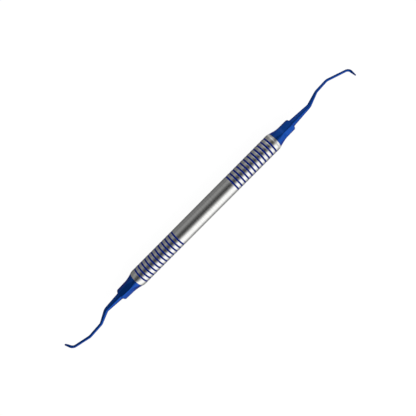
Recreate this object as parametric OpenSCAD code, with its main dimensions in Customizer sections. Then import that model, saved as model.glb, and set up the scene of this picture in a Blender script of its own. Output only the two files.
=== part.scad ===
// Double-ended periodontal hand scaler of the curette kind: a hollow handle with
// grooves near both ends, a colour band in each groove, a six-sided nose collar
// pressed into each mouth, and a bent working end seated in each collar.
// X runs along the handle, with working end A at +X and working end B at -X.
// Z is up, and both shanks are bent in the XY plane. The origin is on the
// handle's axis at mid length. All sizes are in millimetres and degrees.

/* [Handle] */
// Outside diameter of the handle
handle_d = 8; // [7.8:0.1:9]
// Length of the handle tube
handle_len = 82.6; // [82:0.2:100]
// Diameter of the bore through the handle
bore_d = 6.2; // [5.6:0.1:6.4]
// Length at each end that rounds down towards the mouth
crown_len = 1.6; // [1:0.1:1.8]
// Radius of that rounding, seen from the side
crown_r = 5; // [4:0.5:20]

/* [Colour bands] */
// Number of bands near each end
band_count = 12; // [1:1:12]
// Distance from one band to the next
band_pitch = 2; // [1:0.1:2]
// Distance from mid length to the innermost band
first_band_x = 16.3; // [10:0.1:16.5]
// Width of a band and of its groove
band_w = 0.75; // [0.3:0.05:0.8]
// Depth of a groove below the handle's surface
groove_depth = 0.3; // [0.2:0.05:0.4]
// How far a band's outside lies below the handle's surface
band_recess = 0.05; // [0.02:0.01:0.1]

/* [Nose collars] */
// Length of a collar outside the handle
collar_len = 9.5; // [9:0.1:12]
// Diameter of the turned neck before its flats are cut, at its thick end
neck_d = 5.75; // [5.6:0.05:5.9]
// Diameter of the turned neck at its shoulder
neck_end_d = 5.45; // [5.3:0.05:5.6]
// Distance across the neck's six flats
neck_across_flats = 5.14; // [4.9:0.02:5.2]
// Radius of the wheel that cuts the flats and runs out into the flare
flat_runout_r = 10; // [9.5:0.5:10.5]
// Width of the chamfer at the shoulder
shoulder_chamfer = 0.4; // [0.2:0.05:0.6]
// Length of the spigot inside the handle
spigot_len = 8; // [5:0.5:12]
// Depth of the hole for the working end's tang
tang_depth = 9; // [5:0.5:12]
// Diameter of the tang
tang_d = 2.6; // [2:0.1:2.8]
// Turn of collar A from a ridge on top, towards the side of the shank's first bend
collar_a_turn = -8; // [-10:2:-6]
// Turn of collar B from a ridge on top, towards the side of the shank's first bend
collar_b_turn = 20; // [20:5:30]

/* [Working ends] */
// Shank diameter where it leaves the collar
root_d = 3.25; // [3:0.05:3.4]
// Radius of the first three bends, at the shank's centreline
bend_r = 3.5; // [2:0.5:4]
// Distance of a blade's flat face from the blade's axis at the toe
face_offset = 0.12; // [0.05:0.01:0.2]
// Angle between a blade's face and its last run of shank
face_angle = 70; // [60:1:90]
// End A: turn at each of its first three bends and at its hook
a_turns = [18.5, -16.2, -21.3, -70]; // [-70:0.1:30]
// End A: lengths from shoulder to bend 1, 2 and 3 and to the hook
a_runs = [10.5, 6.6, 6.2, 10.2]; // [6:0.1:12]
// End A: shank diameters at bend 1, 2 and 3 and at the hook
a_diameters = [1.84, 1.26, 1.12, 1.02]; // [0.7:0.02:2.1]
// End A: radius of the hook, at its centreline
a_hook_r = 2.1; // [1.5:0.1:3]
// End B: turn at each of its first three bends and at its hook
b_turns = [24.8, -21.3, -15.5, -54]; // [-70:0.1:30]
// End B: lengths from shoulder to bend 1, 2 and 3 and to the hook
b_runs = [9.2, 6.4, 7.4, 8.8]; // [6:0.1:12]
// End B: shank diameters at bend 1, 2 and 3 and at the hook
b_diameters = [2, 1.34, 1.24, 1.16]; // [0.7:0.02:2.1]
// End B: radius of the hook, at its centreline
b_hook_r = 2.8; // [1.5:0.1:3]
// Length of a blade, from the hook's corner to the toe
blade_len = 3.9; // [3.4:0.1:5]
// Diameter of a blade at its toe, across the face
toe_d = 0.86; // [0.8:0.02:0.9]

/* [Hidden] */
SIDES = ["a", "b"];

$fn = 72;
steel = "silver";
blue_coating = [0.06, 0.2, 0.55];
band_blue = [0.05, 0.12, 0.42];

// Play left for the bonded joints, on the radius
joint_gap = 0.02;
// Straight runs are this much thinner than the bends and reach this far into them,
// so that the two fuse along clean edges
run_step = 0.01;
run_lap = 0.05;
// Number of straight steps that stand for an arc of an outline
arc_steps = 8;
// Length of the short cone where the shank leaves its collar, and how far it stands out
root_flare_len = 0.8;
root_flare = 0.12;
// Length and depth of the chamfer that leads the spigot into the bore
lead_len = 0.5;
lead_depth = 0.3;
// How far a cutting shape reaches past what it cuts
over = 1;

handle_r = handle_d / 2;
half_len = handle_len / 2;
bore_r = bore_d / 2;
mouth_r = crown(crown_len);
spigot_r = bore_r - joint_gap;
shoulder_x = half_len + collar_len;
// Reach of the flare's arc from the mouth, and the radius that takes it to the neck
flare_len = 5.2;
flare_drop = mouth_r - joint_gap - neck_d / 2;
flare_r = (pow(flare_len, 2) + pow(flare_drop, 2)) / (2 * flare_drop);

// Radius of the handle at a distance into its rounded end
function crown(d) = handle_r - crown_r + sqrt(pow(crown_r, 2) - pow(d, 2));

// Radius of the collar's flare at a distance from the mouth
function flare(d) = neck_d / 2 + flare_r - sqrt(pow(flare_r, 2) - pow(flare_len - d, 2));

function turns_of(side) = side == "a" ? a_turns : b_turns;
function runs_of(side) = side == "a" ? a_runs : b_runs;
function diameters_of(side) = side == "a" ? a_diameters : b_diameters;
function collar_turn(side) = side == "a" ? collar_a_turn : collar_b_turn;

function bend_radius(side, i) =
    i < 3 ? bend_r : side == "a" ? a_hook_r : b_hook_r;

// Length that a bend takes off the straight run on each side of it
function trim(side, i) =
    i < 0 || i > 3 ? 0 : bend_radius(side, i) * tan(abs(turns_of(side)[i]) / 2);

// Length of the straight part of run i, between the bends at its two ends
function straight(side, i) = runs_of(side)[i] - trim(side, i - 1) - trim(side, i);

function band_name(side, i) = str("band_", side, i < 10 ? "0" : "", i);
function band_x(i) = first_band_x + (i - 1) * band_pitch;

// Places a shape made along +Z so that it runs along +X
module along_x() {
    rotate([0, 90, 0]) children();
}

// Places what belongs to end A, or turns it half round for end B
module at_end(side) {
    rotate([0, 0, side == "a" ? 0 : 180]) children();
}

module handle_tube() {
    outer_end = [for (i = [0:arc_steps]) let (d = crown_len * i / arc_steps)
        [crown(d), half_len - crown_len + d]];
    other_end = [for (i = [arc_steps:-1:0]) [outer_end[i].x, -outer_end[i].y]];
    color(steel) along_x() rotate_extrude() difference() {
        polygon(concat([[bore_r, -half_len]], other_end, outer_end, [[bore_r, half_len]]));
        for (direction = [-1, 1], i = [1:band_count])
            translate([handle_r - groove_depth, direction * band_x(i) - band_w / 2])
                square([groove_depth + over, band_w]);
    }
}

module colour_band(side, i) {
    color(band_blue) at_end(side) translate([band_x(i) - band_w / 2, 0, 0]) along_x()
        difference() {
            cylinder(h = band_w, r = handle_r - band_recess);
            translate([0, 0, -over]) cylinder(h = band_w + 2 * over, r = handle_r - groove_depth);
        }
}

// Turned outline of a collar, with its mouth at 0 and its shoulder at collar_len
module collar_outline() {
    flare_points = [for (i = [0:arc_steps]) let (d = flare_len * i / arc_steps) [flare(d), d]];
    polygon(concat(
        [[0, -spigot_len], [spigot_r - lead_depth, -spigot_len]],
        [[spigot_r, lead_len - spigot_len], [spigot_r, 0]],
        flare_points,
        [[neck_end_d / 2, collar_len - shoulder_chamfer]],
        [[neck_end_d / 2 - shoulder_chamfer, collar_len], [0, collar_len]]));
}

// Everything beyond one flat of the neck, along the path of a round wheel
module flat_cutter() {
    cutter_w = 2 * neck_across_flats;
    translate([0, cutter_w / 2, 0]) rotate([90, 0, 0]) linear_extrude(cutter_w) {
        translate([neck_across_flats / 2 + flat_runout_r, flare_len]) circle(flat_runout_r);
        translate([neck_across_flats / 2, flare_len]) square([flat_runout_r, collar_len]);
    }
}

module nose_collar(side) {
    color(blue_coating) at_end(side) translate([half_len, 0, 0]) along_x() difference() {
        rotate_extrude() collar_outline();
        for (i = [0:5])
            rotate([0, 0, 180 - collar_turn(side) + 30 + 60 * i]) flat_cutter();
        translate([0, 0, collar_len - tang_depth])
            cylinder(h = tang_depth + over, d = tang_d + 2 * joint_gap);
    }
}

// One bend of round rod that starts at the origin along +X and turns towards +Y
module bend(radius, rod_r, angle) {
    translate([0, radius, 0]) rotate([0, 0, -90]) rotate_extrude(angle = angle)
        translate([radius, 0]) circle(rod_r);
}

// The blade: a round taper whose inner side is ground to a flat face
module blade(side) {
    hook_trim = trim(side, 3);
    start_r = diameters_of(side)[3] / 2;
    body_len = blade_len - hook_trim - toe_d / 2;
    slope = atan((start_r - face_offset) / body_len);
    roll = (90 - face_angle) * (side == "a" ? -1 : 1);
    difference() {
        union() {
            translate([-run_lap, 0, 0]) along_x()
                cylinder(h = body_len + run_lap, r1 = start_r - run_step, r2 = toe_d / 2 - run_step);
            translate([body_len, 0, 0]) sphere(d = toe_d);
        }
        rotate([roll, 0, 0]) translate([0, -start_r, 0]) rotate([0, 0, slope])
            translate([0, -over, -over]) cube([blade_len, over, 2 * over]);
    }
}

// Run i of the shank, then its bend, then all that follows, along +X from the origin
module shank_from(side, i, start_r) {
    angle = turns_of(side)[i];
    end_r = diameters_of(side)[i] / 2;
    radius = bend_radius(side, i);
    run = straight(side, i);
    lap = i == 0 ? 0 : run_lap;
    translate([-lap, 0, 0]) along_x()
        cylinder(h = lap + run + run_lap, r1 = start_r - run_step, r2 = end_r - run_step);
    translate([run, 0, 0]) {
        mirror([0, angle < 0 ? 1 : 0, 0]) bend(radius, end_r, abs(angle));
        translate([radius * sin(abs(angle)), sign(angle) * radius * (1 - cos(angle)), 0])
            rotate([0, 0, angle])
                if (i < 3) shank_from(side, i + 1, end_r);
                else blade(side);
    }
}

module working_end(side) {
    color(blue_coating) at_end(side) translate([shoulder_x, 0, 0]) {
        shank_from(side, 0, root_d / 2);
        along_x()
            cylinder(h = root_flare_len, d1 = root_d + 2 * root_flare, d2 = root_d - 2 * root_flare);
        translate([-tang_depth + joint_gap, 0, 0]) along_x()
            cylinder(h = tang_depth, d = tang_d);
    }
}

handle_tube();
for (side = SIDES) {
    nose_collar(side);
    working_end(side);
    for (i = [1:band_count])
        colour_band(side, i);
}
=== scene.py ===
"""Looks of the double-ended hand scaler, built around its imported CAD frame.

X runs along the handle, Z is up and both shanks are bent in the XY plane, as in the
frame. Sizes are in metres. The handle, bands, collars and working ends are remade here
as fine meshes with soft edges, each in its CAD node's place.
"""

import math

import bmesh
import bpy
from mathutils import Matrix, Vector


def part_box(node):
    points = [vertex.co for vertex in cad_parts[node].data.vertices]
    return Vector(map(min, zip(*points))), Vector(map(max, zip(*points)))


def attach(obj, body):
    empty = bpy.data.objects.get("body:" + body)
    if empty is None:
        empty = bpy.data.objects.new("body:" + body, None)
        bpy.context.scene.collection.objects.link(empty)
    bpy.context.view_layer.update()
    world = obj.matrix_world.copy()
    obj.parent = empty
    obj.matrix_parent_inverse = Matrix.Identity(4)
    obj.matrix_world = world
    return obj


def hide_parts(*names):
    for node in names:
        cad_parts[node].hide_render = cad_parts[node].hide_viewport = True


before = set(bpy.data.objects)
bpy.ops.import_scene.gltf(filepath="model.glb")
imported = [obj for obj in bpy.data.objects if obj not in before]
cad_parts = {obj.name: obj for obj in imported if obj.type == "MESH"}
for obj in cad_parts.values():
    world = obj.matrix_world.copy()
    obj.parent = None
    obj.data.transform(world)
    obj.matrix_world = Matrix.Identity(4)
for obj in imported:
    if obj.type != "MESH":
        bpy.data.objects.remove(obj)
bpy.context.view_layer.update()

MM = 0.001
SIDES = ("a", "b")

# ---------------------------------------------------------------- sizes from the frame
tube_low, tube_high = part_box("handle_tube")
HANDLE_R = tube_high.z
HALF_LEN = tube_high.x
SHOULDER_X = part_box("nose_collar_a")[1].x
COLLAR_LEN = SHOULDER_X - HALF_LEN
MOUTH_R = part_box("nose_collar_a")[1].z
SPIGOT_LEN = HALF_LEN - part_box("nose_collar_a")[0].x

# ---------------------------------------------------------------- design values
CROWN_LEN = 1.6 * MM
CROWN_R = 5.0 * MM
MOUTH_EDGE = 0.12 * MM
BORE_R = 3.1 * MM
BORE_CHAMFER = 0.1 * MM
GROOVE_DEPTH = 0.3 * MM
GROOVE_EDGE = 0.035 * MM
BAND_RECESS = 0.05 * MM
BAND_SAG = 0.015 * MM

FLARE_LEN = 5.2 * MM
NECK_R = 2.875 * MM
NECK_END_R = 2.725 * MM
FLAT_DISTANCE = 2.57 * MM
FLAT_RUNOUT_R = 10.0 * MM
SHOULDER_CHAMFER = 0.4 * MM
RIDGE_ROUND = 0.1 * MM
SPIGOT_R = BORE_R - 0.02 * MM
SPIGOT_LEAD = 0.3 * MM
SPIGOT_LEAD_LEN = 0.5 * MM
TANG_HOLE_R = 1.32 * MM
TANG_HOLE_LEN = 9.0 * MM
COLLAR_TURN = {"a": -8.0, "b": 20.0}

TANG_R = 1.3 * MM
TANG_LEN = 8.9 * MM
ROOT_R = 1.625 * MM
ROOT_FLARE = 0.12 * MM
ROOT_FLARE_LEN = 1.6 * MM
BLADE_LEN = 3.9 * MM
TOE_R = 0.428 * MM
FACE_OFFSET = 0.12 * MM
FACE_OVERRUN = 1.2
FACE_ROLL = {"a": -20.0, "b": 20.0}
TURNS = {"a": (18.5, -16.2, -21.3, -70.0), "b": (24.8, -21.3, -15.5, -54.0)}
RUNS = {"a": (10.5, 6.6, 6.2, 10.2), "b": (9.2, 6.4, 7.4, 8.8)}
DIAMETERS = {"a": (1.84, 1.26, 1.12, 1.02), "b": (2.0, 1.34, 1.24, 1.16)}
BEND_RADII = {"a": (3.5, 3.5, 3.5, 2.1), "b": (3.5, 3.5, 3.5, 2.8)}

# ---------------------------------------------------------------- camera
CAMERA_DISTANCE = 175.6 * MM
CAMERA_TILT = math.radians(2.37)
CAMERA_ROLL = math.radians(45.165)
CAMERA_AHEAD = 1.65 * MM
CAMERA_ASIDE = -0.13 * MM
FOCAL_LENGTH = 36.05


def make_camera():
    """A camera over the handle, with end A a little nearer and the handle running up to the right."""
    along = Vector((math.cos(CAMERA_TILT), 0, -math.sin(CAMERA_TILT)))
    aside = Vector((0, 1, 0))
    back = Vector((math.sin(CAMERA_TILT), 0, math.cos(CAMERA_TILT)))
    right = along * math.cos(CAMERA_ROLL) - aside * math.sin(CAMERA_ROLL)
    up = along * math.sin(CAMERA_ROLL) + aside * math.cos(CAMERA_ROLL)
    place = along * CAMERA_AHEAD + aside * CAMERA_ASIDE + back * CAMERA_DISTANCE
    camera = bpy.data.objects.new("camera", bpy.data.cameras.new("camera"))
    camera.data.lens = FOCAL_LENGTH
    camera.data.sensor_width = 36.0
    camera.data.clip_start = 0.01
    camera.data.clip_end = 20.0
    camera.matrix_world = Matrix.Translation(place) @ Matrix((right, up, back)).transposed().to_4x4()
    bpy.context.scene.collection.objects.link(camera)
    bpy.context.scene.camera = camera


# ---------------------------------------------------------------- node helpers
def new_material(name):
    """An empty node material, its node tree and its Principled shader."""
    material = bpy.data.materials.new(name)
    material.use_nodes = True
    tree = material.node_tree
    return material, tree, tree.nodes["Principled BSDF"]


def math_node(tree, operation, first, second=0.0):
    """The output of a Math node whose inputs are numbers or other nodes' outputs."""
    node = tree.nodes.new("ShaderNodeMath")
    node.operation = operation
    for socket, value in zip(node.inputs, (first, second)):
        if isinstance(value, (int, float)):
            socket.default_value = value
        else:
            tree.links.new(value, socket)
    return node.outputs[0]


def ramp(tree, source, stops, interpolation="LINEAR"):
    """The output of a ramp of greys. Stops are (position, grey)."""
    node = tree.nodes.new("ShaderNodeValToRGB")
    node.color_ramp.interpolation = interpolation
    elements = node.color_ramp.elements
    while len(elements) < len(stops):
        elements.new(0.5)
    for element, (position, grey) in zip(elements, stops):
        element.position = position
        element.color = (grey, grey, grey, 1.0)
    tree.links.new(source, node.inputs["Fac"])
    return node.outputs["Color"]


def noise(tree, scale, detail, roughness):
    """The value output of a noise texture, scaled on each axis of the object's own metres."""
    coordinates = tree.nodes.new("ShaderNodeTexCoord")
    mapping = tree.nodes.new("ShaderNodeMapping")
    mapping.inputs["Scale"].default_value = scale
    tree.links.new(coordinates.outputs["Object"], mapping.inputs["Vector"])
    node = tree.nodes.new("ShaderNodeTexNoise")
    node.inputs["Scale"].default_value = 1.0
    node.inputs["Detail"].default_value = detail
    node.inputs["Roughness"].default_value = roughness
    tree.links.new(mapping.outputs["Vector"], node.inputs["Vector"])
    return node.outputs["Fac"]


def add_up(tree, base, *parts):
    """A base number plus (output, factor) parts."""
    total = base
    for output, factor in parts:
        total = math_node(tree, "ADD", math_node(tree, "MULTIPLY", output, factor), total)
    return total


def mix_colours(tree, factor, first, second):
    """The mix of two colours, given as colours or as outputs."""
    node = tree.nodes.new("ShaderNodeMix")
    node.data_type = "RGBA"
    tree.links.new(factor, node.inputs[0])
    for socket, value in zip((node.inputs[6], node.inputs[7]), (first, second)):
        if isinstance(value, tuple):
            socket.default_value = (*value, 1.0)
        else:
            tree.links.new(value, socket)
    return node.outputs[2]


def bump(tree, height, distance, strength, normal=None):
    """The normal output of a bump node, whose height is in units of the distance, in metres."""
    node = tree.nodes.new("ShaderNodeBump")
    node.inputs["Strength"].default_value = strength
    node.inputs["Distance"].default_value = distance
    tree.links.new(height, node.inputs["Height"])
    if normal is not None:
        tree.links.new(normal, node.inputs["Normal"])
    return node.outputs["Normal"]


# ---------------------------------------------------------------- materials
def lengthen_gloss(tree, shader, amount, rotation):
    """Makes the gloss longer one way than the other, as on a piece finished on a lathe."""
    shader.inputs["Anisotropic"].default_value = amount
    shader.inputs["Anisotropic Rotation"].default_value = rotation
    tangent = tree.nodes.new("ShaderNodeTangent")
    tangent.direction_type = "RADIAL"
    tangent.axis = "X"
    tree.links.new(tangent.outputs["Tangent"], shader.inputs["Tangent"])


def satin_steel():
    """Turned and satin-finished steel: fine marks round the barrel, a few handling scuffs."""
    material, tree, shader = new_material("satin_steel")
    turning = noise(tree, (3600.0, 50.0, 50.0), 4.0, 0.7)
    patches = noise(tree, (150.0, 400.0, 400.0), 3.0, 0.5)
    scuffs = noise(tree, (700.0, 2600.0, 2600.0), 6.0, 0.7)
    marks = ramp(tree, turning, ((0.36, 0.0), (0.64, 1.0)))
    tint = mix_colours(tree, marks, (0.53, 0.53, 0.515), (0.68, 0.68, 0.67))
    colour = mix_colours(tree, ramp(tree, patches, ((0.35, 0.0), (0.7, 0.35))), tint, (0.55, 0.55, 0.55))
    tree.links.new(colour, shader.inputs["Base Color"])
    tree.links.new(add_up(tree, 0.07, (turning, 0.14), (scuffs, 0.1)), shader.inputs["Roughness"])
    shader.inputs["Metallic"].default_value = 1.0
    lengthen_gloss(tree, shader, 0.35, 0.0)
    tree.links.new(bump(tree, turning, 2e-6, 0.6), shader.inputs["Normal"])
    return material


def blue_coating():
    """A thin blue ceramic coating over polished steel, a little worn and uneven in hue."""
    material, tree, shader = new_material("blue_coating")
    clouds = noise(tree, (260.0, 260.0, 260.0), 4.0, 0.5)
    grain = noise(tree, (9000.0, 9000.0, 9000.0), 3.0, 0.5)
    lines = noise(tree, (700.0, 6000.0, 6000.0), 4.0, 0.6)
    colour = mix_colours(tree, clouds, (0.0004, 0.04, 0.25), (0.0008, 0.054, 0.305))
    tree.links.new(colour, shader.inputs["Base Color"])
    tree.links.new(add_up(tree, 0.13, (lines, 0.12), (clouds, 0.08)), shader.inputs["Roughness"])
    shader.inputs["Metallic"].default_value = 0.9
    shader.inputs["Specular Tint"].default_value = (0.12, 0.25, 0.75, 1.0)
    shader.inputs["Coat Weight"].default_value = 0.2
    shader.inputs["Coat Roughness"].default_value = 0.12
    lengthen_gloss(tree, shader, 0.8, 0.25)
    normal = bump(tree, lines, 3e-6, 0.5)
    tree.links.new(bump(tree, grain, 1e-6, 0.5, normal), shader.inputs["Normal"])
    return material


def band_enamel():
    """Navy blue enamel laid in the grooves, glossy and slightly uneven."""
    material, tree, shader = new_material("band_enamel")
    flow = noise(tree, (600.0, 600.0, 600.0), 3.0, 0.5)
    specks = noise(tree, (7000.0, 7000.0, 7000.0), 2.0, 0.5)
    colour = mix_colours(tree, flow, (0.0002, 0.004, 0.07), (0.0004, 0.006, 0.095))
    tree.links.new(colour, shader.inputs["Base Color"])
    tree.links.new(add_up(tree, 0.22, (specks, 0.15)), shader.inputs["Roughness"])
    shader.inputs["Specular IOR Level"].default_value = 0.25
    shader.inputs["Specular Tint"].default_value = (0.08, 0.32, 1.0, 1.0)
    tree.links.new(bump(tree, flow, 4e-6, 0.5), shader.inputs["Normal"])
    return material


def pale_floor():
    """A table top with a faint mottle. It glows almost white, so its white stays even and
    shadows on it stay faint."""
    material, tree, shader = new_material("pale_floor")
    mottle = noise(tree, (30.0, 30.0, 30.0), 3.0, 0.5)
    colour = mix_colours(tree, mottle, (0.045, 0.045, 0.045), (0.055, 0.055, 0.055))
    tree.links.new(colour, shader.inputs["Base Color"])
    shader.inputs["Roughness"].default_value = 0.8
    shader.inputs["Specular IOR Level"].default_value = 0.2
    shader.inputs["Emission Color"].default_value = (1.0, 1.0, 1.0, 1.0)
    shader.inputs["Emission Strength"].default_value = 0.93
    return material


# ---------------------------------------------------------------- mesh helpers
SHARP_ANGLE = math.radians(32.0)


def new_piece(name, verts, faces, material):
    """A smooth-shaded mesh object with outward normals and its hard edges kept sharp."""
    mesh = bpy.data.meshes.new(name)
    mesh.from_pydata([tuple(v) for v in verts], [], faces)
    shape = bmesh.new()
    shape.from_mesh(mesh)
    bmesh.ops.remove_doubles(shape, verts=shape.verts, dist=1e-8)
    bmesh.ops.recalc_face_normals(shape, faces=shape.faces)
    shape.to_mesh(mesh)
    shape.free()
    mesh.polygons.foreach_set("use_smooth", [True] * len(mesh.polygons))
    mesh.set_sharp_from_angle(angle=SHARP_ANGLE)
    mesh.materials.append(material)
    piece = bpy.data.objects.new(name, mesh)
    bpy.context.scene.collection.objects.link(piece)
    return piece


def skin(rings, closed):
    """Faces between rings of equal length. A closed skin joins the last ring to the first;
    an open one gets a fan on its first and last ring."""
    count = len(rings[0])
    verts = [v for ring in rings for v in ring]
    faces = []
    pairs = len(rings) if closed else len(rings) - 1
    for i in range(pairs):
        here = i * count
        there = (i + 1) % len(rings) * count
        for j in range(count):
            k = (j + 1) % count
            faces.append((here + j, here + k, there + k, there + j))
    if not closed:
        for ring, order in ((0, 1), (len(rings) - 1, -1)):
            centre = sum(rings[ring], Vector()) / count
            verts.append(centre)
            tip = len(verts) - 1
            for j in range(count):
                k = (j + 1) % count
                faces.append((ring * count + j, tip, ring * count + k)[::order])
    return verts, faces


def lathe(name, profile, material, segments):
    """A ring-shaped solid turned round the X axis from a closed outline of (x, radius)."""
    angles = [math.tau * j / segments for j in range(segments)]
    rings = [[Vector((x, r * math.cos(t), r * math.sin(t))) for t in angles] for x, r in profile]
    verts, faces = skin(rings, closed=True)
    return new_piece(name, verts, faces, material)


def settle(piece, node):
    """Puts a finished piece in its CAD node's place."""
    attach(piece, "root")
    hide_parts(node)


def fillet(x, r, size, start, end, steps=4):
    """Points of a quarter-round corner of the given size, centred at (x, r)."""
    angles = [math.radians(start + (end - start) * i / steps) for i in range(steps + 1)]
    return [(x + size * math.cos(t), r + size * math.sin(t)) for t in angles]


# ---------------------------------------------------------------- handle and bands
def crown(x):
    """Radius of the handle's outside at a distance x from mid length."""
    into = max(0.0, abs(x) - (HALF_LEN - CROWN_LEN))
    return HANDLE_R - CROWN_R + math.sqrt(CROWN_R**2 - into**2)


def band_names(side):
    """The CAD nodes of one side's bands, in order."""
    return sorted(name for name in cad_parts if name.startswith(f"band_{side}"))


def groove_spans():
    """(start, end) of every groove along the handle, from end B to end A."""
    boxes = [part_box(name) for side in SIDES for name in band_names(side)]
    return sorted((low.x, high.x) for low, high in boxes)


def handle_outline():
    """Closed outline of the tube: bore, rounded mouths and grooves with soft edges."""
    floor_r = HANDLE_R - GROOVE_DEPTH
    edge = GROOVE_EDGE
    middle_step = 1.6 * MM
    half = []
    spans = [span for span in groove_spans() if span[0] > 0]
    x = 0.0
    while x < spans[0][0] - middle_step:
        half.append((x, HANDLE_R))
        x += middle_step
    for start, end in spans:
        r = crown(start)
        half += fillet(start - edge, r - edge, edge, 90, 0)
        half += [(start, floor_r), (end, floor_r)]
        r = crown(end)
        half += fillet(end + edge, r - edge, edge, 180, 90)
    crown_steps = 14
    crown_start = HALF_LEN - CROWN_LEN
    for i in range(crown_steps):
        x = crown_start + (CROWN_LEN - MOUTH_EDGE) * i / crown_steps
        if x > spans[-1][1] + 2 * edge:
            half.append((x, crown(x)))
    half += fillet(HALF_LEN - MOUTH_EDGE, crown(HALF_LEN) - MOUTH_EDGE * 0.97, MOUTH_EDGE, 80, 0)
    half += [(HALF_LEN, BORE_R + BORE_CHAMFER), (HALF_LEN - BORE_CHAMFER, BORE_R)]
    mirrored = [(-x, r) for x, r in reversed(half)]
    return half + mirrored[:-1]


def build_handle(steel):
    piece = lathe("handle_barrel", handle_outline(), steel, segments=128)
    settle(piece, "handle_tube")


def build_band(node, enamel):
    """One ring of enamel, with a surface that sags a little between the groove's edges."""
    low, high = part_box(node)
    width = high.x - low.x
    outer_r = HANDLE_R - BAND_RECESS
    steps = 6
    top = []
    for i in range(steps + 1):
        t = i / steps
        top.append((low.x + width * t, outer_r - BAND_SAG * (1 - (2 * t - 1) ** 2)))
    outline = [*top, (high.x, HANDLE_R - GROOVE_DEPTH), (low.x, HANDLE_R - GROOVE_DEPTH)]
    piece = lathe(f"enamel_{node}", outline, enamel, segments=96)
    settle(piece, node)


# ---------------------------------------------------------------- nose collars
def soft_min(first, second, reach):
    """The smaller of two radii, with the corner between them rounded over a reach."""
    gap = max(reach - abs(first - second), 0.0) / reach
    return min(first, second) - gap * gap * reach / 4


def turned_radius(d):
    """Radius of the collar before its flats are cut, at a distance d from the mouth."""
    drop = MOUTH_R - NECK_R
    arc_r = (FLARE_LEN**2 + drop**2) / (2 * drop)
    if d < FLARE_LEN:
        return NECK_R + arc_r - math.sqrt(arc_r**2 - (FLARE_LEN - d) ** 2)
    taper = (d - FLARE_LEN) / (COLLAR_LEN - SHOULDER_CHAMFER - FLARE_LEN)
    return NECK_R + (NECK_END_R - NECK_R) * min(taper, 1.0)


def flat_distance(d):
    """Distance of the six flats from the axis, which grows where the wheel runs out."""
    if d > FLARE_LEN:
        return FLAT_DISTANCE
    return FLAT_DISTANCE + FLAT_RUNOUT_R - math.sqrt(FLAT_RUNOUT_R**2 - (FLARE_LEN - d) ** 2)


def collar_radius(d, angle):
    """Outside radius at a distance from the mouth and an angle from the middle of a flat."""
    sixth = math.tau / 6
    off = (angle + sixth / 2) % sixth - sixth / 2
    radius = soft_min(turned_radius(d), flat_distance(d) / math.cos(off), RIDGE_ROUND)
    from_end = COLLAR_LEN - d
    return soft_min(radius, NECK_END_R - SHOULDER_CHAMFER + from_end, RIDGE_ROUND)


def build_collar(side, coating):
    """The collar's outside, from the spigot over the flare and the flats to the tang hole."""
    sign = 1 if side == "a" else -1
    segments, outside_steps, chamfer_steps = 180, 72, 14
    edge_len = 0.06 * MM
    chamfer_len = 1.3 * SHOULDER_CHAMFER
    run = COLLAR_LEN - chamfer_len - edge_len
    outside = [edge_len + run * i / outside_steps for i in range(outside_steps + 1)]
    chamfer = [COLLAR_LEN - chamfer_len * (1 - i / chamfer_steps) for i in range(1, chamfer_steps + 1)]
    rings = []
    phase = math.radians(COLLAR_TURN[side] + 30)

    def ring(d, radius_at):
        """A ring of points. Angles are counted from the top towards +Y at end A."""
        points = []
        for j in range(segments):
            t = math.tau * j / segments
            r = radius_at(t - phase)
            points.append(Vector((sign * (HALF_LEN + d), sign * r * math.sin(t), r * math.cos(t))))
        rings.append(points)

    ring(-SPIGOT_LEN, lambda t: SPIGOT_R - SPIGOT_LEAD)
    ring(-SPIGOT_LEN + SPIGOT_LEAD_LEN, lambda t: SPIGOT_R)
    ring(0.0, lambda t: SPIGOT_R)
    ring(0.0, lambda t: MOUTH_R - edge_len)
    for d in outside + chamfer:
        ring(d, lambda t, d=d: collar_radius(d, t))
    ring(COLLAR_LEN, lambda t: TANG_HOLE_R)
    ring(COLLAR_LEN - TANG_HOLE_LEN, lambda t: TANG_HOLE_R)
    verts, faces = skin(rings, closed=False)
    piece = new_piece(f"collar_{side}", verts, faces, coating)
    settle(piece, f"nose_collar_{side}")


# ---------------------------------------------------------------- working ends
def trim(side, i):
    """Length that bend i takes off the straight run on each side of it."""
    if i < 0 or i > 3:
        return 0.0
    return BEND_RADII[side][i] * MM * math.tan(math.radians(abs(TURNS[side][i])) / 2)


def shank_path(side):
    """Stations along the centreline, from the shoulder to the toe: (place, heading, length so far),
    with the length at the middle of each bend and at the start of the blade."""
    stations = []
    middles = []
    place, heading, length = Vector((0, 0)), 0.0, 0.0
    line_step, turn_step = 0.2 * MM, math.radians(2.5)

    def go(distance):
        nonlocal place, length
        place = place + Vector((math.cos(heading), math.sin(heading))) * distance
        length += distance

    for i in range(5):
        run = RUNS[side][i] * MM if i < 4 else BLADE_LEN
        run -= trim(side, i - 1) + trim(side, i)
        if i == 4:
            blade_start = length
            run -= TOE_R
        steps = max(2, round(run / line_step))
        for _ in range(steps):
            stations.append((place, heading, length))
            go(run / steps)
        if i < 4:
            turn = math.radians(TURNS[side][i])
            radius = BEND_RADII[side][i] * MM
            steps = max(3, round(abs(turn) / turn_step))
            middles.append(length + radius * abs(turn) / 2)
            for _ in range(steps):
                stations.append((place, heading, length))
                small = turn / steps
                heading += small / 2
                chord = 2 * radius * math.sin(abs(small) / 2)
                place = place + Vector((math.cos(heading), math.sin(heading))) * chord
                heading += small / 2
                length += radius * abs(small)
    toe_steps = 9
    body_end = length
    base = place
    for i in range(toe_steps):
        reach = TOE_R * math.sin(math.pi / 2 * i / toe_steps)
        ahead = Vector((math.cos(heading), math.sin(heading))) * reach
        stations.append((base + ahead, heading, body_end + reach))
    return stations, middles, blade_start, body_end


def between(table, at):
    """The value at a length, evenly between the (length, value) knots of a table."""
    for (x0, y0), (x1, y1) in zip(table, table[1:]):
        if at <= x1:
            t = max(0.0, (at - x0) / (x1 - x0))
            return y0 + (y1 - y0) * t
    return table[-1][1]


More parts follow.
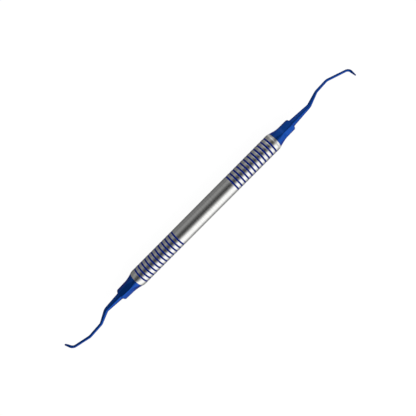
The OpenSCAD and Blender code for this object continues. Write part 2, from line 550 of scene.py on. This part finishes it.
def shank_section(side, radius, face_height):
    """(across, up) points of a section: round, or round with its inner side cut to a flat face."""
    back_points, face_points = 30, 10
    inner = -1 if TURNS[side][3] < 0 else 1
    least_half = math.radians(20)
    ratio = min(face_height / radius, math.cos(least_half)) if radius > 0 else 0.0
    half = math.acos(max(-1.0, ratio))
    points = []
    for i in range(back_points):
        t = half + (math.tau - 2 * half) * i / back_points
        points.append((math.cos(t) * radius, math.sin(t) * radius))
    for i in range(face_points):
        t = -half + 2 * half * i / face_points
        points.append((min(math.cos(t) * radius, face_height), math.sin(t) * radius))
    roll = -inner * math.radians(FACE_ROLL[side])
    rolled = []
    for across, up in points:
        y = across * math.cos(roll) - up * math.sin(roll)
        z = across * math.sin(roll) + up * math.cos(roll)
        rolled.append((inner * y, z))
    return rolled


def build_working_end(side, coating):
    """Tang, tapered shank and half-round blade as one swept solid."""
    sign = 1 if side == "a" else -1
    stations, middles, blade_start, body_end = shank_path(side)
    knots = [(0.0, ROOT_R)]
    knots += [(m, d * MM / 2) for m, d in zip(middles, DIAMETERS[side])]
    knots += [(blade_start, DIAMETERS[side][3] * MM / 2), (body_end, TOE_R)]
    start_r = knots[-2][1]
    rings = []

    def ring(place, heading, section):
        across = Vector((-math.sin(heading), math.cos(heading)))
        points = []
        for y, z in section:
            p = place + across * y
            points.append(Vector((sign * (SHOULDER_X + p.x), sign * p.y, z)))
        rings.append(points)

    for x, r in ((-TANG_LEN, TANG_R), (0.0, TANG_R), (0.0, ROOT_R + ROOT_FLARE)):
        ring(Vector((x, 0)), 0.0, shank_section(side, r, 2 * r))
    for place, heading, length in stations[1:]:
        radius = between(knots, length)
        if length < ROOT_FLARE_LEN:
            radius += ROOT_FLARE * (1 - length / ROOT_FLARE_LEN) ** 2
        if length > body_end:
            radius = math.sqrt(max(TOE_R**2 - (length - body_end) ** 2, 0.0))
        height = 2 * radius
        if length > blade_start:
            along = min((length - blade_start) / (body_end - blade_start), FACE_OVERRUN)
            height = start_r + (FACE_OFFSET - start_r) * along
        ring(place, heading, shank_section(side, radius, height))
    verts, faces = skin(rings, closed=False)
    piece = new_piece(f"shank_and_blade_{side}", verts, faces, coating)
    settle(piece, f"working_end_{side}")


# ---------------------------------------------------------------- floor, tent and lights
def build_floor():
    """The table top. It is left out of reflections, where the tent stands for the studio."""
    size = 3.0
    z = -HANDLE_R
    corners = [(-size, -size, z), (size, -size, z), (size, size, z), (-size, size, z)]
    floor = new_piece("floor", corners, [(0, 1, 2, 3)], pale_floor())
    floor.visible_glossy = False


# Brightness of the studio as the metal sees it, by the angle from straight up towards -Y
TENT_STOPS = (
    (-180, 0.30), (-120, 0.20), (-98, 0.31), (-80, 0.24), (-64, 0.38), (-50, 0.40), (-37, 0.35),
    (-25, 0.19), (-12, 0.11), (0, 0.06), (12, 0.16), (25, 0.42), (38, 1.1), (51, 1.6),
    (65, 1.66), (82, 1.7), (100, 1.25), (120, 0.48), (180, 0.30),
)
TENT_STRENGTH = 1.7
TENT_R = 2.5
# How much of a pale card beyond end A shows, by the place along the handle's direction from -1
# to 1, and the card's brightness by angle
CARD_SPAN = (
    (0.25, 0.0), (0.29, 0.6), (0.34, 1.0), (0.41, 1.0), (0.48, 0.35), (0.75, 0.2), (1.0, 0.2),
)
CARD_STOPS = (
    (-180, 0.65), (-100, 0.65), (-72, 0.75), (-54, 1.1), (-38, 1.1), (-18, 0.75), (-4, 0.5),
    (14, 0.5), (34, 0.75), (52, 0.95), (76, 1.0), (100, 1.0), (130, 0.85), (180, 0.65),
)


def tent_material():
    """Light of the tent's wall, graded round the handle's axis, with the card faded in along it."""
    material = bpy.data.materials.new("reflection_tent")
    material.use_nodes = True
    tree = material.node_tree
    tree.nodes.clear()
    output = tree.nodes.new("ShaderNodeOutputMaterial")
    emission = tree.nodes.new("ShaderNodeEmission")
    coordinates = tree.nodes.new("ShaderNodeTexCoord")
    split = tree.nodes.new("ShaderNodeSeparateXYZ")
    tree.links.new(coordinates.outputs["Object"], split.inputs[0])
    toward = math_node(tree, "MULTIPLY", split.outputs["Y"], -1.0)
    angle = math_node(tree, "ARCTAN2", toward, split.outputs["Z"])
    turn = math_node(tree, "ADD", math_node(tree, "DIVIDE", angle, math.tau), 0.5)
    wall, card = (
        ramp(tree, turn, [((a + 180) / 360, v / TENT_STRENGTH) for a, v in stops], "EASE")
        for stops in (TENT_STOPS, CARD_STOPS)
    )
    reach = math_node(tree, "MULTIPLY", split.outputs["X"], 0.5 / TENT_R)
    span = [((x + 1) / 2, v) for x, v in CARD_SPAN]
    carded = ramp(tree, math_node(tree, "ADD", reach, 0.5), span, "EASE")
    tree.links.new(mix_colours(tree, carded, wall, card), emission.inputs["Color"])
    emission.inputs["Strength"].default_value = TENT_STRENGTH
    tree.links.new(emission.outputs[0], output.inputs["Surface"])
    return material


def build_tent():
    """A light tent round the instrument that only reflections see."""
    bpy.ops.mesh.primitive_uv_sphere_add(segments=64, ring_count=32, radius=TENT_R)
    tent = bpy.context.object
    tent.name = "reflection_tent"
    tent.data.materials.append(tent_material())
    tent.visible_camera = False
    tent.visible_diffuse = False
    tent.visible_shadow = False
    tent.visible_transmission = False


def build_light(name, place, size, power):
    """A soft box aimed at the middle of the handle. It adds to diffuse shading only, not to gloss."""
    light = bpy.data.lights.new(name, "AREA")
    light.shape = "RECTANGLE"
    light.size, light.size_y = size
    light.energy = power
    lamp = bpy.data.objects.new(name, light)
    lamp.location = place
    lamp.rotation_euler = (-Vector(place)).to_track_quat("-Z", "Y").to_euler()
    lamp.visible_glossy = False
    bpy.context.scene.collection.objects.link(lamp)


def build_world():
    """Even white light all round, shown without a film look."""
    world = bpy.data.worlds.new("studio")
    world.use_nodes = True
    background = world.node_tree.nodes["Background"]
    background.inputs["Color"].default_value = (1.0, 1.0, 1.0, 1.0)
    background.inputs["Strength"].default_value = 1.0
    bpy.context.scene.world = world
    bpy.context.scene.view_settings.view_transform = "Standard"


# ---------------------------------------------------------------- the scene
make_camera()
build_world()
build_floor()
build_tent()
build_light("key_softbox", (0.1, -0.9, 0.7), (0.9, 0.6), 14.0)
build_light("fill_softbox", (-0.2, 0.8, 0.9), (0.8, 0.8), 6.0)

steel = satin_steel()
coating = blue_coating()
enamel = band_enamel()
build_handle(steel)
for side in SIDES:
    for band in band_names(side):
        build_band(band, enamel)
    build_collar(side, coating)
    build_working_end(side, coating)
